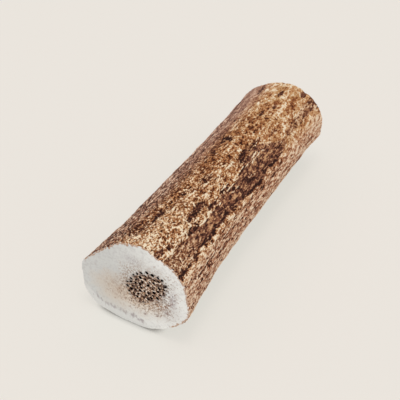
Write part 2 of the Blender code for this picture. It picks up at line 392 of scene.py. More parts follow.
# %% Shaken places
SHAKE = ((7.0 * MM, 1.7), (2.6 * MM, 1.1), (1.2 * MM, 0.5))
ALONG_SIZE = 3.0 * MM
ALONG_REACH = 0.010
JAG_SIZE = 1.9 * MM
JAG_REACH = 2.8


def noise_at(points, size, seed):
    """Noise between about -1 and 1 at each point of a grid, with lumps of the given size."""
    offset = Vector((seed * 17.3, seed * 5.1, seed * 9.7))
    flat = points.reshape(-1, 3) / size
    values = [noise.noise(Vector(point) + offset) for point in flat]
    return np.array(values).reshape(points.shape[:-1])


drawn_out = place * np.array([0.35, 1.0, 1.0])
shaken_angle = angle.copy()
for seed, (size, reach) in enumerate(SHAKE):
    shaken_angle = shaken_angle + 2.0 * reach * noise_at(drawn_out, size, seed)
shaken_along = along + ALONG_REACH * noise_at(place, ALONG_SIZE, 7)

# %% Marks on the bark
# Bed of the main gutter: place along, lower edge, upper edge, how dark
MAIN_GUTTER = ((-0.05, 33, 59, 0.45), (0.08, 33, 56, 0.55), (0.16, 33.5, 52, 0.75), (0.24, 34, 53, 1.0),
               (0.42, 34, 55, 1.0), (0.50, 33, 57, 1.0), (0.56, 32, 61, 1.0), (0.62, 31.5, 62, 1.0),
               (0.67, 31, 58, 1.0), (0.71, 32, 50, 0.9), (0.75, 35, 43, 0.6), (0.78, 38, 40, 0.0))
FAR_GUTTER = ((0.73, 39, 42, 0.0), (0.79, 37, 48, 0.45), (0.92, 36, 50, 0.60), (1.05, 36, 52, 0.70))
HIDDEN_GUTTER = ((-0.05, 190, 206, 0.8), (0.25, 192, 209, 0.9), (0.50, 189, 204, 0.9),
                 (0.72, 196, 210, 0.8), (1.05, 192, 206, 0.7))
LOWER_GUTTER = ((0.04, 330, 336, 0.0), (0.12, 327, 336, 0.6), (0.62, 329, 338, 0.6), (0.86, 328, 331, 0.0))
# Degrees over which a bed's edge fades, and the part of the length over which a line's ends do
BED_EDGE = 1.6
LINE_FADE = 0.03
# The noise that breaks up the pale ridges: middle, swing and size of its lumps
RIDGE_BREAKS = (1.4, 1.8, 2.4 * MM)

# Dark hollows: place along, angle, length and width in millimetres, how dark
HOLLOWS = (
    (0.195, 55.5, 10.5, 3.2, 1), (0.322, 55.5, 8, 3.4, 1), (0.408, 58.5, 6, 3.2, 0.95),
    (0.265, 64, 17, 3, 0.95), (0.02, 64, 8, 3, 0.8), (0.07, 60, 9, 2.2, 0.6), (0.03, 35.5, 9, 2.8, 1),
    (0.59, 67, 15, 3.6, 0.7), (0.645, 63.5, 12, 3.2, 0.7), (0.635, 46, 7, 2, 0.6),
    (0.665, 37, 13, 2.6, 0.5), (0.72, 41, 8, 2.6, 0.45),
    (0.75, 57, 6, 2.8, 0.6), (0.8, 84, 4.2, 2.4, 0.8), (0.86, 75, 4.2, 2.4, 0.8), (0.93, 82, 5, 2.4, 0.8),
    (0.955, 119, 8, 5, 0.55), (0.985, 60, 6, 3, 0.9), (0.99, 42, 4, 2.4, 0.8), (0.72, 80, 5, 2.2, 0.4),
    (0.18, 97.5, 12, 3.2, 0.85), (0.08, 101, 14, 3.6, 0.6), (0.3, 91, 14, 2.8, 0.45), (0.4, 82, 10, 4.4, 0.5),
    (0.55, 22, 8, 3, 0.6), (0.65, 20, 11, 3, 0.5), (0.18, 17, 22, 1.6, 0.5), (0.63, 97, 5, 5, 0.7),
    (0.605, 99, 5, 2.4, 0.5), (0.56, 63, 8, 2.4, 0.7), (0.43, 51, 6, 2, 0.6), (0.12, 104, 9, 2.6, 0.6),
    (0.52, 40, 9, 1.8, 0.6), (0.1, 122, 16, 3, 0.45), (0.3, 128, 14, 3, 0.4), (0.06, 146, 16, 4, 0.5),
    (0.3, 221, 10, 3.6, 0.7), (0.74, 222, 9, 3.4, 0.7), (0.5, 246, 14, 3, 0.5), (0.18, 300, 14, 3, 0.5),
    (0.6, 306, 12, 3, 0.5), (0.86, 176, 10, 3.4, 0.6), (0.45, 170, 16, 2.6, 0.6), (0.38, 270, 12, 2.6, 0.4),
    (0.84, 282, 10, 3, 0.5),
)

# Narrow dark creases: width in millimetres, how deep, then the path
CREASES = (
    (1.5, 1.0, ((-0.02, 34), (0.10, 33.5), (0.22, 35), (0.32, 36.5), (0.41, 34.0))),
    (1.3, 0.8, ((0.42, 34), (0.52, 33.5), (0.60, 35), (0.70, 34))),
    (1.0, 0.6, ((0.02, 17), (0.16, 17.5), (0.34, 19), (0.46, 17))),
    (0.9, 0.5, ((0.05, 9), (0.30, 10), (0.55, 11))),
    (0.9, 0.5, ((0.12, 24), (0.30, 26), (0.50, 27))),
    (0.9, 0.5, ((0.45, 138), (0.70, 134), (0.90, 128))),
    (1.0, 0.6, ((0.04, 142), (0.25, 137), (0.50, 131))),
    (1.2, 0.7, ((0.05, 190), (0.40, 189), (0.95, 193))),
    (1.0, 0.5, ((0.10, 232), (0.50, 236), (0.90, 230))),
    (1.0, 0.5, ((0.05, 316), (0.50, 314), (0.80, 318))),
)

# Thin pale ridges: width in millimetres, how pale, then the path
PALE_RIDGES = (
    (0.9, 1.0, ((-0.01, 55), (0.08, 56), (0.15, 58.5), (0.195, 59.5), (0.21, 57), (0.235, 52))),
    (0.9, 1.0, ((0.21, 55), (0.24, 52), (0.26, 52.5), (0.31, 52.5), (0.345, 51.5), (0.38, 54))),
    (0.7, 0.8, ((0.34, 59), (0.38, 56), (0.44, 55.5), (0.50, 54))),
    (0.7, 0.8, ((0.37, 62), (0.45, 61))),
    (0.7, 0.8, ((0.44, 57), (0.50, 59.5), (0.56, 59))),
    (0.6, 0.6, ((0.40, 47.5), (0.49, 46))),
    (0.7, 0.7, ((0.20, 60), (0.28, 61.5))),
    (0.6, 0.8, ((0.52, 55), (0.58, 56.5), (0.64, 57))),
    (0.6, 0.8, ((0.55, 61), (0.62, 61.5), (0.69, 61))),
    (0.6, 0.7, ((0.54, 51), (0.62, 52.5), (0.70, 52))),
    (0.6, 0.6, ((0.58, 47), (0.66, 47.5))),
    (0.6, 0.5, ((0.50, 43), (0.58, 43.5))),
    (0.8, 0.6, ((0.66, 66), (0.76, 65))),
    (1.0, 0.7, ((0.10, 30.5), (0.25, 31), (0.45, 31))),
    (1.4, 0.6, ((0.30, 67), (0.42, 70), (0.55, 73.5))),
    (1.4, 0.5, ((0.05, 184), (0.45, 184), (0.80, 187))),
)


def bed_mask(bed):
    """1 inside a bed between two edge lines, fading over an edge of a few degrees."""
    places, lower, upper, strength = np.array(bed, dtype=float).T
    middle = np.interp(shaken_along, places, (lower + upper) / 2)
    half = np.interp(shaken_along, places, (upper - lower) / 2)
    inside = smooth_step(0.5 + (half - np.abs(wrapped(shaken_angle - middle))) / BED_EDGE)
    return inside * np.interp(shaken_along, places, strength)


def hollow_mask(hollow):
    at, centre, long_side, wide_side, strength = hollow
    lengthwise = 2.0 * (shaken_along - at) * length / (long_side * MM)
    across = 2.0 * np.radians(wrapped(shaken_angle - centre)) * radius / (wide_side * MM)
    return strength * np.exp(-(lengthwise ** 2 + across ** 2) ** 1.5)


jagged_angle = shaken_angle + JAG_REACH * noise_at(place * np.array([0.8, 1.0, 1.0]), JAG_SIZE, 21)


def line_mask(line):
    width, strength, path = line
    places, centres = np.array(path, dtype=float).T
    gap = np.radians(wrapped(jagged_angle - np.interp(shaken_along, places, centres))) * radius
    fade = smooth_step((shaken_along - places[0]) / LINE_FADE)
    fade = fade * smooth_step((places[-1] - shaken_along) / LINE_FADE)
    return strength * fade * np.exp(-(2.0 * gap / (width * MM)) ** 2)


gutter = np.max([bed_mask(bed) for bed in (MAIN_GUTTER, FAR_GUTTER, HIDDEN_GUTTER, LOWER_GUTTER)], axis=0)
hollow = np.max([hollow_mask(mark) for mark in HOLLOWS], axis=0)
crease = np.max([line_mask(line) for line in CREASES], axis=0)
break_middle, break_swing, break_size = RIDGE_BREAKS
broken = break_middle + break_swing * noise_at(drawn_out, break_size, 12)
pale = np.clip(np.max([line_mask(line) for line in PALE_RIDGES], axis=0) * broken, 0.0, 1.0)
print("gutters cover", round(float((gutter > 0.5).mean() * 100), 1), "% of the bark")

# %% [markdown]
# ## Tone round the beam
#
# The crown is rubbed bright and golden. The flanks are duller: pinkish brown on the camera's right
# and grey brown on its left. A few angles are enough, with a tone at each end of the beam and
# halfway, because the tone is read in between.

# %% Tone and tint
# Angle, then tone at the wide end, halfway and at the slim end, where 0.5 is middling
TONE = ((0, 0.57, 0.48, 0.67), (14, 0.57, 0.47, 0.71), (30, 0.58, 0.50, 0.75), (45, 0.55, 0.50, 0.62),
        (62, 0.53, 0.46, 0.66), (78, 0.58, 0.37, 0.71), (90, 0.50, 0.34, 0.73), (102, 0.32, 0.32, 0.72),
        (120, 0.10, 0.31, 0.53), (140, -0.03, 0.28, 0.40), (160, -0.06, 0.27, 0.37), (190, 0.30, 0.37, 0.42),
        (225, 0.48, 0.50, 0.52), (260, 0.56, 0.56, 0.56), (300, 0.50, 0.52, 0.54), (335, 0.50, 0.51, 0.58),
        (360, 0.57, 0.48, 0.67))
# Angle and how pinkish the bark is there
PINK = ((0, 0.95), (22, 0.85), (34, 0.20), (95, 0.10), (110, 0.35), (125, 0.80), (150, 1.00), (200, 0.90),
        (250, 0.60), (300, 0.65), (340, 0.90), (360, 0.95))
# Angle and how grey the bark is there
DULL = ((0, 0.0), (100, 0.0), (118, 0.6), (130, 1.0), (200, 1.0), (250, 0.3), (300, 0.0), (360, 0.0))
# Angle and how far the grain draws out to strands
STRANDS = ((0, 0.85), (24, 0.80), (34, 0.45), (60, 0.25), (95, 0.15), (120, 0.45), (150, 0.80),
           (200, 0.75), (260, 0.60), (320, 0.80), (360, 0.85))
# The brightest patch: where it ends along the beam, its fade, angle and half width, how bright
BRIGHT_PATCH = (0.50, 0.25, 77.0, 24.0, 0.10)


def around(table, column):
    points = np.array(table, dtype=float)
    return np.interp(angle, points[:, 0], points[:, column])


to_middle = np.clip(2 * along, 0.0, 1.0)
to_slim = np.clip(2 * along - 1, 0.0, 1.0)
tone = around(TONE, 1) * (1 - to_middle) + around(TONE, 2) * (to_middle - to_slim) + around(TONE, 3) * to_slim
patch_end, patch_fade, patch_angle, patch_half, brighter = BRIGHT_PATCH
bright_patch = smooth_step((patch_end - along) / patch_fade)
bright_patch *= smooth_step(1 - np.abs(wrapped(angle - patch_angle)) / patch_half)
tone = tone + brighter * bright_patch
pink, dull = around(PINK, 1), around(DULL, 1)
strands = np.clip(around(STRANDS, 1) + 0.25 * gutter, 0.0, 1.0)

# %% [markdown]
# ## The sawn faces' own coordinates
#
# The marrow is an oval, off centre and tilted. Every point gets its place in that oval, in
# millimetres along and across it, so that colours and pores can follow the oval at either end. The
# third number only tells the two ends apart, so that a noise doesn't draw the same pattern on both.

# %% Marrow places
# Centre as millimetres towards the camera's right and up from the axis, half axes, tilt
BURR_MARROW = dict(side=-1.0, centre=(5.8, 2.0), half_length=10.7, half_width=6.6, tilt=40.0, seed=4,
                   face_x=low.x, axis_height=BURR_AXIS_HEIGHT)
TIP_MARROW = dict(side=1.0, centre=(2.0, 1.0), half_length=9.0, half_width=5.8, tilt=35.0, seed=9,
                  face_x=high.x, axis_height=TIP_AXIS_HEIGHT)
END_MARK = 10.3


def marrow_place(marrow, points):
    """Place in the marrow's oval, as seen by somebody who looks straight at that end."""
    facing = -marrow["side"]
    across = facing * (-points[..., 1] / MM - marrow["centre"][0])
    up = (points[..., 2] - marrow["axis_height"]) / MM - marrow["centre"][1]
    tilt = facing * math.radians(marrow["tilt"])
    lengthwise = across * math.cos(tilt) + up * math.sin(tilt)
    crosswise = up * math.cos(tilt) - across * math.sin(tilt)
    return np.stack([lengthwise, crosswise, np.full_like(up, marrow["side"] * END_MARK)], axis=-1)


near_burr = (along < 0.5)[..., None]
oval_place = np.where(near_burr, marrow_place(BURR_MARROW, place), marrow_place(TIP_MARROW, place))

# %% [markdown]
# ## From tables to a mesh
#
# The tube becomes a mesh with the tables stored on its points as named attributes. Geometry Nodes
# and the materials both read them by name.

# %% Tube mesh
# How much of the bark's relief each row takes: all on the bark, less over the round, none inside
FACE_RELIEF = 0.45
LINE_SPREAD = 2.0 * MM
LINE_FOOT = 0.6 * MM
RIM_SPREAD = 0.5 * MM
# Width from which an edge counts as a bevel, and how much wider it is when it counts in full
BEVEL_FROM = 0.8 * MM
BEVEL_GAIN = 2.4 * MM
BEVEL_FADE = 1.2 * MM
# Angles between which the burr end's rim is sanded bare, and its line is dashed, with their fades
BARE_RIM = (172.0, 318.0, 4.0, 4.0)
DASHED_RIM = (205.0, 300.0, 30.0, 15.0)
# How far the round has turned over where the bark starts
BARK_STARTS = 1.0


def on_arc(starts, ends, fade_in, fade_out):
    return smooth_step((angle - starts) / fade_in) * smooth_step((ends - angle) / fade_out)


bevel_width = np.where(along < 0.5, burr_edge[0], tip_edge[0]) - EDGE_ROUND
on_bevel = smooth_step((bevel_width - BEVEL_FROM) / BEVEL_GAIN)
reaches_rim = smooth_step(1.0 + outside_line / LINE_FOOT) * (1.0 - on_bevel)
reaches_rim = np.maximum(reaches_rim, np.clip(outside_line / bevel_width, 0.0, 1.0))
relief_share = FACE_RELIEF * reaches_rim + (1.0 - FACE_RELIEF) * np.sin(edge_turn)
bare = (along < 0.5) * on_arc(*BARE_RIM)
on_edge = outside_line < RAY_REACH
on_face = np.where(on_edge & ((edge_turn < BARK_STARTS) | (bare > 0.5)), 1.0, 0.0)
bevel = on_bevel * smooth_step(outside_line / BEVEL_FADE) * on_edge
bevel_line = on_bevel * np.exp(-(outside_line / LINE_SPREAD) ** 2) * on_arc(*DASHED_RIM)
rim_tint = (1.0 - on_bevel) * (1.0 - bare) * np.exp(-((outside_line - bevel_width) / RIM_SPREAD) ** 2)

row_count, spoke_count = along.shape
index = np.arange(row_count * spoke_count).reshape(row_count, spoke_count)
after = np.roll(index, -1, axis=1)
quads = np.stack([index[:-1], index[1:], after[1:], after[:-1]], axis=-1).reshape(-1, 4)

tube = bpy.data.meshes.new("antler_tube")
tube.from_pydata(place.reshape(-1, 3).tolist(), [], quads.tolist())


def store(name, values, kind, key):
    layer = tube.attributes.new(name, kind, "POINT")
    layer.data.foreach_set(key, np.ascontiguousarray(values, dtype=np.float32).ravel())


shares = dict(gutter=gutter, hollow=hollow, crease=crease, pale=pale, tone=tone, pink=pink, dull=dull,
              strands=strands, bevel=bevel, bevel_line=bevel_line, rim_tint=rim_tint,
              relief_share=relief_share, on_face=on_face)
places = dict(outward=np.broadcast_to(outward, place.shape), rest_place=place / MM, oval_place=oval_place)
for name, values in shares.items():
    store(name, values, "FLOAT", "value")
for name, values in places.items():
    store(name, values, "FLOAT_VECTOR", "vector")
antler = add_object("antler_surface", tube)
print("tube", len(tube.vertices), "points", len(tube.attributes), "attributes")

# %% [markdown]
# ## One grain for shape and colour
#
# On real bark the high grains are pale and the low ones dark, partly from their own stain and partly
# from shade, and the colour paints both: its dark low grains are partly painted shade. So the same
# noise has to drive both the relief and the colour. One function writes it into either kind of node
# tree: round grains about a millimetre wide, which run over into long strands on the flanks.

# %% The bark's grain
# Stretch along the beam and lumps per millimetre, for the crown and for the flanks
CROWN_GRAIN = (1.4, 1.10)
STRAND_GRAIN = (3.2, 1.15)
# Folds for each lump, and how far from the noise's middle level a fold ends
FOLDS_PER_LUMP = 0.72
FOLD_WIDTH = 0.10


def bark_grain(tree, at, strandiness):
    """Grain value between 0 and 1: lumps with thin winding folds over them."""
    kinds = []
    for stretch, per_mm in (CROWN_GRAIN, STRAND_GRAIN):
        lumps = tree.soft_noise(at, per_mm, 2.0, stretch, 0.8)
        level = tree.soft_noise(at, FOLDS_PER_LUMP * per_mm, 1.0, stretch, 0.3)
        off_level = tree.math("ABSOLUTE", tree.math("SUBTRACT", level, 0.5))
        fold = tree.remap(off_level, 0.0, FOLD_WIDTH, 1.0, 0.0)
        kinds.append(tree.weighted_sum(0.5, (lumps, 3.0, 0.5), (fold, 0.50, 0.42)))
    mixed = tree.add("ShaderNodeMix", {0: strandiness, 2: kinds[0], 3: kinds[1]})
    return tree.remap(mixed, 0.0, 1.0)


# %% [markdown]
# ## Materials: weathered bark
#
# Antler bark is bone that weathered in the open: matt, with a faint polish on the high grains. Its
# colour runs from nearly black in the pits, partly painted shade, through brown and tan to cream on
# the rubbed crests.
# Three palettes are blended: golden on the crown, pinkish on the flanks, purple brown in gutters.

# %% Bark material
CROWN_PALETTE = ((0.00, "#33170b"), (0.20, "#5f2f17"), (0.40, "#91532b"), (0.60, "#bd814d"),
                 (0.80, "#ddb280"), (1.00, "#fdecd0"))
FLANK_PALETTE = ((0.00, "#3a1a11"), (0.20, "#6e3e2b"), (0.40, "#9f674b"), (0.60, "#c28b6b"),
                 (0.80, "#dfb190"), (1.00, "#f6dcc0"))
GUTTER_PALETTE = ((0.00, "#2f1813"), (0.25, "#4f2c22"), (0.50, "#714535"), (0.75, "#9a6344"),
                  (1.00, "#d2a276"))
GOLDEN_STAIN = "#bf935c"
# Drawn marks: name, value at the mark's edge, how sharp that edge is, how much the grain breaks it
MARK_EDGES = (("gutter", 0.50, 1.5, 0.65), ("hollow", 0.50, 2.6, 0.45), ("crease", 0.50, 1.8, 0.70),
              ("pale", 0.55, 2.2, -0.90))
BONE_IOR = 1.5
BARK_BUMP = 0.3 * MM


def new_material(name):
    """A material with the recipe for its tree and its shader node."""
    material = bpy.data.materials.new(name)
    material.use_nodes = True
    return material, Recipe(material.node_tree), material.node_tree.nodes["Principled BSDF"]


def bark_material():
    material, tree, shader = new_material("antler_bark_weathered")
    at = tree.read("rest_place", "Vector")
    grain = bark_grain(tree, at, tree.read("strands"))
    speck = tree.soft_noise(at, 2.0, 1.0, 1.5)
    blotch = tree.soft_noise(at, 0.24, 2.0, 1.5)
    streak = tree.soft_noise(at, 0.42, 2.0, 6.0)
    # Small dark pits, one to a cell: partly their own stain, partly painted shade
    pit = tree.remap(tree.cells(tree.vector("MULTIPLY", at, (0.7, 1, 1)), 0.75), 0.14, 0.32, 1.0, 0.0)
    # The grain also breaks up the edges of the drawn marks
    rugged = tree.weighted_sum(0.0, (grain, -1.0, 0.5), (speck, -1.2, 0.5))
    marks = {}
    for name, edge, sharpness, roughness in MARK_EDGES:
        drawn = tree.read(name)
        broken = tree.weighted_sum(0.5, (drawn, sharpness, edge), (rugged, roughness, 0.0), clamp=True)
        marks[name] = tree.times(broken, tree.remap(drawn, 0.02, 0.25))
    in_bed = tree.math("MAXIMUM", marks["gutter"], tree.times(marks["hollow"], 0.9))
    in_bed = tree.times(in_bed, tree.math("SUBTRACT", 1.0, marks["pale"]))
    dull, pink = tree.read("dull"), tree.read("pink")
    along_beam = tree.add("ShaderNodeSeparateXYZ", {0: at})

    def end_to_end(at_wide_end, at_slim_end):
        return tree.remap(along_beam, low.x / MM, high.x / MM, at_wide_end, at_slim_end)

    # The grain stands out most at the wide end, and fades least on the camera's right
    contrast = end_to_end(tree.weighted_sum(1.32, (dull, 0.60, 0.0)),
                          tree.weighted_sum(0.42, (pink, 0.40, 0.0), (dull, -0.45, 0.0)))
    contrast = tree.times(contrast, tree.remap(in_bed, 0.0, 1.0, 1.0, end_to_end(0.80, 1.60)))
    # The grain's low places and the pits are painted darker: partly their own stain, partly painted shade
    fine = tree.weighted_sum(0.0, (grain, 1.0, 0.5), (speck, 0.75, 0.5), (pit, -0.45, 0.3))
    fine = tree.times(fine, contrast)
    # Towards the slim end broad patches come in, and the gutters' beds are drawn out in scales
    far_half = tree.remap(along_beam, 0.0, high.x / MM)
    patch = tree.math("SUBTRACT", tree.soft_noise(at, 0.45, 1.0, 1.3), 0.5)
    patch = tree.times(patch, tree.remap(along_beam, 0.8 * low.x / MM, 0.4 * high.x / MM))
    patch = tree.times(patch, tree.remap(dull, 0.0, 1.0, 1.0, 0.4))
    scale = tree.math("SUBTRACT", tree.soft_noise(at, 0.9, 2.0, 3.5, 0.8), 0.5)
    scale = tree.times(scale, in_bed)
    creased = tree.times(marks["crease"], tree.remap(far_half, 0.0, 1.0, 1.0, 0.35))
    value = tree.weighted_sum(
        0.0, (tree.read("tone"), 1.0, 0.0), (fine, 1.0, 0.0), (blotch, 0.65, 0.5),
        (streak, 0.60, 0.5), (patch, 1.3, 0.0), (scale, 1.7, 0.0), (in_bed, -0.06, 0.0),
        (marks["pale"], 0.46, 0.0), (marks["hollow"], -0.34, 0.0), (creased, -0.45, 0.0), clamp=True)
    stain = tree.remap(tree.soft_noise(at, 0.22, 2.0, 1.5), 0.50, 0.62, 0.0, 0.45)
    stain = tree.times(tree.times(stain, far_half), tree.remap(value, 0.20, 0.45))
    skin = tree.mix(stain, tree.palette(value, CROWN_PALETTE), GOLDEN_STAIN)
    skin = tree.mix(pink, skin, tree.palette(value, FLANK_PALETTE))
    skin = tree.mix(in_bed, skin, tree.palette(value, GUTTER_PALETTE))
    skin = tree.add("ShaderNodeHueSaturation", {
        "Saturation": tree.remap(dull, 0.0, 1.0, 1.0, end_to_end(0.95, 0.80)), "Color": skin})
    # Weathered bone: rough in the pits, slightly polished on the crests
    height = tree.weighted_sum(0.0, (grain, 1.0, 0.0), (speck, 0.6, 0.0), (pit, -0.5, 0.0))
    tree.fill(shader, {
        "Base Color": skin, "Roughness": tree.remap(value, 0.2, 1.0, 0.80, 0.55),
        "IOR": BONE_IOR, "Specular IOR Level": 0.15,
        "Normal": tree.add("ShaderNodeBump", {"Strength": 0.7, "Distance": BARK_BUMP, "Height": height})})
    return material


bark = bark_material()

# %% [markdown]
# ## Materials: sawn and sanded bone
#
# Sawn antler is white compact bone outside and cancellous bone inside. The compact ring is smooth
# and pale, cool grey to one side. A round zone in the middle is finely mottled, and the walls
# between the open pores are cream to brown, where dried marrow soaked in. The bark's stain creeps
# in a little at the rim, and specks of it were dragged over the face by the saw.

# %% Sawn bone material
MARROW_WALLS = ((0.00, "#3f2010"), (0.30, "#845434"), (0.60, "#ca9f76"), (1.00, "#fff5ea"))
# Smears on the burr end: place from the marrow's middle and half sizes in mm, share, colour
SMEARS = (
    (-13.5, -7.5, 9.0, 8.0, 0.70, "#b79c88"), (8.0, -9.0, 6.5, 6.0, 0.85, "#8b6853"),
    (-2.5, -7.6, 8.5, 4.4, 0.70, "#b8864f"),
    (-6.0, 11.4, 3.6, 2.4, 0.50, "#9a8c95"), (12.2, -2.0, 1.8, 5.6, 0.75, "#8d7a80"),
    (-1.1, -16.5, 1.3, 1.0, 1.00, "#7d4d3c"), (4.6, -14.3, 1.4, 1.0, 1.00, "#774c3d"),
    (9.1, -10.9, 1.5, 1.1, 1.00, "#7a4f40"),
)
# Pits painted between the pores, their dark middles painted shade: where a pit is full and where it ends,
# share, the same for their zone
DOTS = ((0.26, 0.40, 0.50, 1.30, 2.00, "#965f3e"), (0.22, 0.33, 0.90, 0.95, 1.45, "#2f1e15"))
SAWN_BUMP = 0.2 * MM


def sawn_material():
    material, tree, shader = new_material("antler_bone_sawn")
    oval = tree.read("oval_place", "Vector")
    mottle = tree.soft_noise(oval, 0.75, 3.0, 1.0, 0.4)
    fine = tree.soft_noise(oval, 1.5, 2.0, 1.0, 0.6)
    cloud = tree.soft_noise(oval, 0.16, 2.0)
    noises = {"mottle": mottle, "fine": fine, "cloud": cloud}
    turned = tree.turn(oval, math.radians(BURR_MARROW["tilt"]))
    across, _, end = tree.node("ShaderNodeSeparateXYZ", {0: turned}).outputs
    burr_only = tree.remap(end, -1.0, 1.0, 1.0, 0.0)

    def gap_from(at, middle, half_sizes):
        """Distance from a middle as a share of the half sizes."""
        apart = tree.vector("SUBTRACT", at, (*middle, 0.0))
        apart = tree.vector("MULTIPLY", apart, (1 / half_sizes[0], 1 / half_sizes[1], 0.0))
        return tree.vector("LENGTH", apart, output="Value")

    def ragged(value, **weights):
        """A value with its edges broken up by some of the noises."""
        parts = [(noises[name], weight, 0.5) for name, weight in weights.items()]
        return tree.weighted_sum(0.0, (value, 1.0, 0.0), *parts)

    # Compact bone: cool grey on the left, warm white on the right
    bone = tree.mix(tree.remap(across, -17.0, 7.0), "#e0e1df", "#fffffc")
    bone = tree.mix(tree.remap(mottle, 0.46, 0.66, 0.0, 0.30), bone, "#b8b2b2")
    # Warmer low on the left, where some marrow fat soaked in
    warm = ragged(gap_from(turned, (-8.5, -9.5), (17.0, 9.5)), cloud=1.0)
    bone = tree.mix(tree.remap(warm, 0.40, 1.25, 0.55, 0.0), bone, "#eed9bf")
    # On the sanded bevel the bone is painted paler and bluish: partly the smooth sanded bone, partly a
    # painted reflection of the pale sheet below
    bone = tree.mix(tree.times(tree.read("bevel"), 0.7), bone, "#f1f1ef")
    # Finely mottled zone round the marrow
    zone = ragged(gap_from(turned, (-0.6, -2.4), (12.8, 13.0)), cloud=0.8, mottle=1.0)
    spots = tree.times(tree.remap(zone, 0.75, 1.20, 1.0, 0.0), tree.remap(fine, 0.46, 0.64, 0.0, 0.9))
    bone = tree.mix(spots, bone, "#a37f64")
    # Smears and specks, with edges broken up by the mottling
    grit = tree.remap(fine, 0.42, 0.57, 0.15, 1.0)
    for x, y, half_x, half_y, share, code in SMEARS:
        gap = ragged(gap_from(turned, (x, y), (half_x, half_y)), mottle=3.0, fine=1.0)
        there = tree.times(tree.remap(gap, 0.3, 1.3, share, 0.0), burr_only)
        bone = tree.mix(tree.times(there, grit), bone, code)
    # Walls of the marrow, in a zone whose middle lies a millimetre lower than the pores' own
    half_sizes = (BURR_MARROW["half_length"], BURR_MARROW["half_width"])
    marrow = ragged(gap_from(oval, (-0.9, -0.9), half_sizes), cloud=0.5, mottle=0.7)
    # They are palest in the middle, and a little paler above it than below
    from_top = gap_from(oval, (0.0, 3.0), half_sizes)
    wall_value = tree.weighted_sum(0.40, (mottle, 3.0, 0.5), (fine, 3.8, 0.5), (marrow, -0.25, 0.55),
                                   (from_top, -0.06, 0.60), clamp=True)
    walls = tree.palette(wall_value, MARROW_WALLS)
    bone = tree.mix(tree.remap(marrow, 0.90, 1.14, 1.0, 0.0), bone, walls)
    # Small pits painted between the pores and outside them, mostly below: faint brown dots, then dark middles
    # nearer the marrow, which are painted shade for pits too small to model
    dots = tree.cells(oval, 0.85)
    zone = ragged(gap_from(oval, (-1.5, -2.4), half_sizes), mottle=1.5)
    for pit_full, pit_end, share, zone_full, zone_end, code in DOTS:
        pit = tree.remap(dots, pit_full, pit_end, share, 0.0)
        bone = tree.mix(tree.times(pit, tree.remap(zone, zone_full, zone_end, 1.0, 0.0)), bone, code)
    # Short dashes across the line where the flat face breaks over into the bevel
    dashes = tree.soft_noise(tree.turn(turned, math.radians(90.0)), 0.9, 2.0, 2.2)
    line = tree.weighted_sum(0.0, (tree.read("bevel_line"), 1.0, 0.0), (dashes, 2.6, 0.5),
                             (cloud, 1.0, 0.5))
    bone = tree.mix(tree.remap(line, 0.55, 1.35, 0.0, 0.65), bone, "#917b7f")
    # The bark's stain at the rim
    rim = ragged(tree.read("rim_tint"), mottle=3.0)
    bone = tree.mix(tree.remap(rim, 0.60, 1.0, 0.0, 0.75), bone, "#b57c4a")
    # The pores are painted darker quickly with depth, nearly black at the bottom, and their reflection is
    # turned off inside: painted shade in the holes
    mouth = tree.read("pore")
    bone = tree.mix(tree.remap(mouth, 0.0, 0.08, 0.0, 0.8), bone, "#3c2518")
    bone = tree.mix(tree.remap(mouth, 0.02, 0.18), bone, "#0a0605")
    tree.fill(shader, {
        "Base Color": bone, "Roughness": 0.5, "IOR": BONE_IOR,
        "Specular IOR Level": tree.remap(mouth, 0.0, 0.15, 0.5, 0.0),
        "Normal": tree.add("ShaderNodeBump", {"Strength": 0.3, "Distance": SAWN_BUMP, "Height": mottle})})
    return material


sawn = sawn_material()

# %% [markdown]
# ## Geometry Nodes: relief of the bark
#
# The tube's points move straight out from the beam's axis. The grain lifts them, and the marks
# stored on the points sink creases and hollows and raise the pale ridges. Each height is a named
# input in metres, so the relief can be made stronger or weaker from the modifier.

# %% Relief tree
# Each mark with its input and whether it rises or sinks
RELIEF_MARKS = (("pale", "Ridge height", "ADD"), ("crease", "Crease depth", "SUBTRACT"),
                ("hollow", "Hollow depth", "SUBTRACT"), ("gutter", "Gutter depth", "SUBTRACT"))
RELIEF_SIZES = ("Grain height", *[size for _, size, _ in RELIEF_MARKS])
# Share of the grain's height that is missing in a gutter's bed
LOST_IN_GUTTER = 0.35


class GroupRecipe(Recipe):
    """Writes a Geometry Nodes group with the named inputs and one geometry in and out."""

    def __init__(self, name, numbers, integers=()):
        super().__init__(bpy.data.node_groups.new(name, "GeometryNodeTree"))
        new_socket = self.tree.interface.new_socket
        kinds = dict.fromkeys(numbers, "Float") | dict.fromkeys(integers, "Int")
        for label, kind in ({"Geometry": "Geometry"} | kinds).items():
            new_socket(label, in_out="INPUT", socket_type="NodeSocket" + kind)
        new_socket("Geometry", in_out="OUTPUT", socket_type="NodeSocketGeometry")
        self.given = self.node("NodeGroupInput").outputs

    def finish(self, geometry):
        """Give the geometry out of the group."""
        self.node("NodeGroupOutput", {"Geometry": geometry})
        return self.tree

    def read(self, name, kind="FLOAT"):
        return self.add("GeometryNodeInputNamedAttribute", {"Name": name}, data_type=kind)

    def store(self, geometry, name, value, kind="FLOAT"):
        inputs = {"Geometry": geometry, "Name": name, "Value": value}
        return self.add("GeometryNodeStoreNamedAttribute", inputs, data_type=kind, domain="POINT")

    def place(self, geometry, position):
        return self.add("GeometryNodeSetPosition", {"Geometry": geometry, "Position": position})

    def shift(self, geometry, offset):
        return self.add("GeometryNodeSetPosition", {"Geometry": geometry, "Offset": offset})

    def compare(self, operation, first, second):
        return self.add("FunctionNodeCompare", {0: first, 1: second}, data_type="FLOAT", operation=operation)

    def join(self, *parts):
        joined = self.node("GeometryNodeJoinGeometry")
        for part in parts:
            self.tree.links.new(part, joined.inputs[0])
        return joined.outputs[0]


